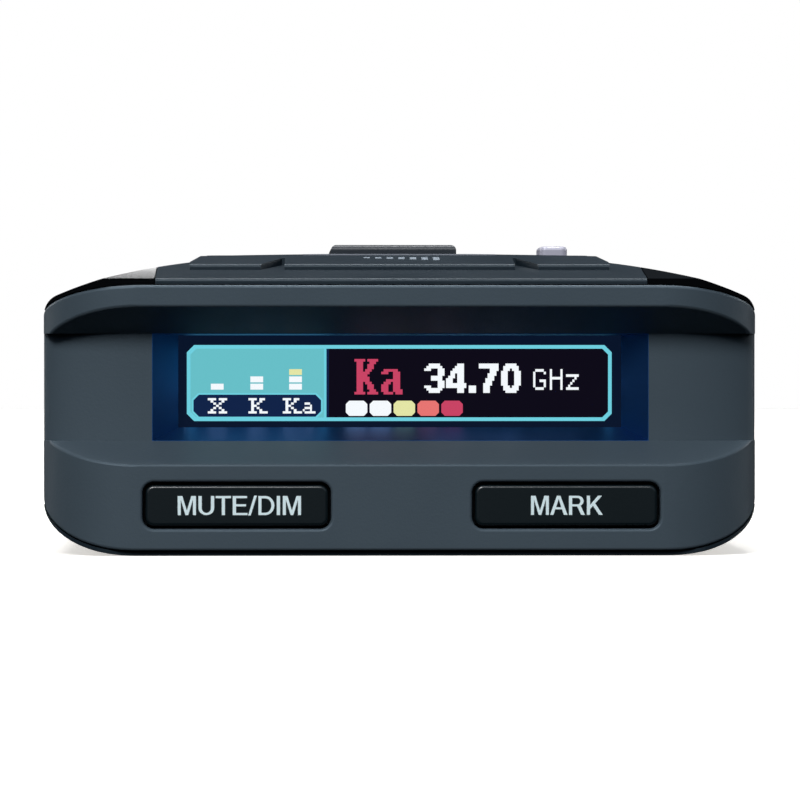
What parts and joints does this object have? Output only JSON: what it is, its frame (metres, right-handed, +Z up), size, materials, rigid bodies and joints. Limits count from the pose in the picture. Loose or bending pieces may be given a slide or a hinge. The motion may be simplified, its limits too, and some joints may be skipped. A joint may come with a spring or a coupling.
{
  "type": "radar detector",
  "caption": "Windshield radar detector: flat rounded case with a recessed display, keys below it, a raised deck with keys, bracket slot and release, and a dark antenna window.",
  "frame": {"origin": "centre of the casing's footprint, on its bottom face", "axes": "+Z up, +Y from the display end towards the antenna end that faces the road, +X to the right of a driver looking at the display"},
  "size_m": [0.07, 0.122, 0.031],
  "materials": {
    "bezel_plastic": "fine satin texture, slate grey",
    "cover_plastic": "fine spark-eroded texture",
    "gloss_trim": "piano black",
    "smoke_window": "infrared-passing smoke tint",
    "key_plastic": "semi-gloss",
    "deck_key_rubber": "soft-touch",
    "silver_plastic": "satin silver paint",
    "clear_window": "clear hard-coated acrylic",
    "display_glass": "emissive display, dark when unlit",
    "gasket_foam": "closed-cell foam",
    "tray_plastic": "black moulding",
    "green_board": "solder-masked laminate",
    "ribbon_film": "amber polyimide",
    "switch_body": "moulded switch housing",
    "plunger_plastic": "white nylon",
    "steel_screw": "black-oxide steel",
    "spring_steel": "music wire",
    "receiver_plastic": "glass-filled nylon",
    "latch_acetal": "natural acetal",
    "tin_plate": "tin-plated sheet",
    "chip_epoxy": "moulded epoxy",
    "capacitor_sleeve": "printed sleeve",
    "antenna_ceramic": "unglazed ceramic",
    "horn_casting": "die-cast zinc-aluminium",
    "probe_brass": "machined pin",
    "lens_acrylic": "red infrared filter acrylic",
    "detector_black": "epoxy package",
    "socket_plastic": "black moulding",
    "socket_pin": "nickel plate",
    "felt": "pressed felt",
    "paper_cone": "pressed paper",
    "magnet_ferrite": "nickel-coated",
    "wire_jacket": "PVC",
    "label_film": "printed polyester"
  },
  "bodies": {
    "casing": {"rear_bezel": "bezel_plastic", "top_cover": "cover_plastic", "bottom_cover": "cover_plastic", "left_shoulder_trim": "gloss_trim", "right_shoulder_trim": "gloss_trim", "nose_window": "smoke_window", "case_screws": "steel_screw", "bottom_label": "label_film", "display_window": "clear_window", "window_gasket": "gasket_foam", "display_panel": "display_glass", "display_tray": "tray_plastic", "display_board": "green_board", "display_board_screws": "steel_screw", "display_ribbon": "ribbon_film", "rear_switches": "switch_body", "top_switches": "switch_body", "bracket_receiver": "receiver_plastic", "latch_spring": "spring_steel", "latch_strap": "tin_plate", "strap_screws": "steel_screw", "main_board": "green_board", "main_board_screws": "steel_screw", "rf_shield": "tin_plate", "control_chips": "chip_epoxy", "capacitors": "capacitor_sleeve", "gps_antenna": "antenna_ceramic", "horn_body": "horn_casting", "horn_cover": "horn_casting", "horn_screws": "steel_screw", "pickup_probe": "probe_brass", "laser_board": "green_board", "laser_detector": "detector_black", "lens_holder": "tray_plastic", "laser_lens": "lens_acrylic", "speaker_felt": "felt", "speaker_basket": "tin_plate", "speaker_cone": "paper_cone", "speaker_magnet": "magnet_ferrite", "speaker_leads": "wire_jacket", "power_jack": "socket_plastic", "audio_jack": "socket_plastic", "usb_port": "socket_pin"},
    "mute_key_body": {"mute_key": "key_plastic", "mute_plunger": "plunger_plastic"},
    "mark_key_body": {"mark_key": "key_plastic", "mark_plunger": "plunger_plastic"},
    "menu_key_body": {"menu_key": "deck_key_rubber", "menu_plunger": "plunger_plastic"},
    "power_key_body": {"power_key": "deck_key_rubber", "power_plunger": "plunger_plastic"},
    "volume_down_key_body": {"volume_down_key": "deck_key_rubber", "volume_down_plunger": "plunger_plastic"},
    "volume_up_key_body": {"volume_up_key": "deck_key_rubber", "volume_up_plunger": "plunger_plastic"},
    "release_button_body": {"release_button": "silver_plastic"},
    "latch_body": {"latch": "latch_acetal"}
  },
  "joints": [
    {"name": "mute_key_press", "type": "slide", "parent": "casing", "child": "mute_key_body", "axis": [0, 1, 0], "range_m": [0, 0.0005], "stiffness_N_per_m": 200, "springref_m": -0.001},
    {"name": "mark_key_press", "type": "slide", "parent": "casing", "child": "mark_key_body", "axis": [0, 1, 0], "range_m": [0, 0.0005], "stiffness_N_per_m": 200, "springref_m": -0.001},
    {"name": "menu_key_press", "type": "slide", "parent": "casing", "child": "menu_key_body", "axis": [0, 0, -1], "range_m": [0, 0.0005], "stiffness_N_per_m": 200, "springref_m": -0.001},
    {"name": "power_key_press", "type": "slide", "parent": "casing", "child": "power_key_body", "axis": [0, 0, -1], "range_m": [0, 0.0005], "stiffness_N_per_m": 200, "springref_m": -0.001},
    {"name": "volume_down_key_press", "type": "slide", "parent": "casing", "child": "volume_down_key_body", "axis": [0, 0, -1], "range_m": [0, 0.0005], "stiffness_N_per_m": 200, "springref_m": -0.001},
    {"name": "volume_up_key_press", "type": "slide", "parent": "casing", "child": "volume_up_key_body", "axis": [0, 0, -1], "range_m": [0, 0.0005], "stiffness_N_per_m": 200, "springref_m": -0.001},
    {"name": "release_button_press", "type": "slide", "parent": "casing", "child": "release_button_body", "axis": [0, 0, -1], "range_m": [0, 0.0012], "stiffness_N_per_m": 200, "springref_m": -0.001},
    {"name": "latch_slide", "type": "slide", "parent": "casing", "child": "latch_body", "axis": [1, 0, 0], "range_m": [0, 0.0012], "stiffness_N_per_m": 200, "springref_m": -0.001, "deforming": ["latch_spring"]}
  ],
  "couplings": [
    {"joint": "latch_slide", "follows": "release_button_press", "ratio": 1}
  ]
}
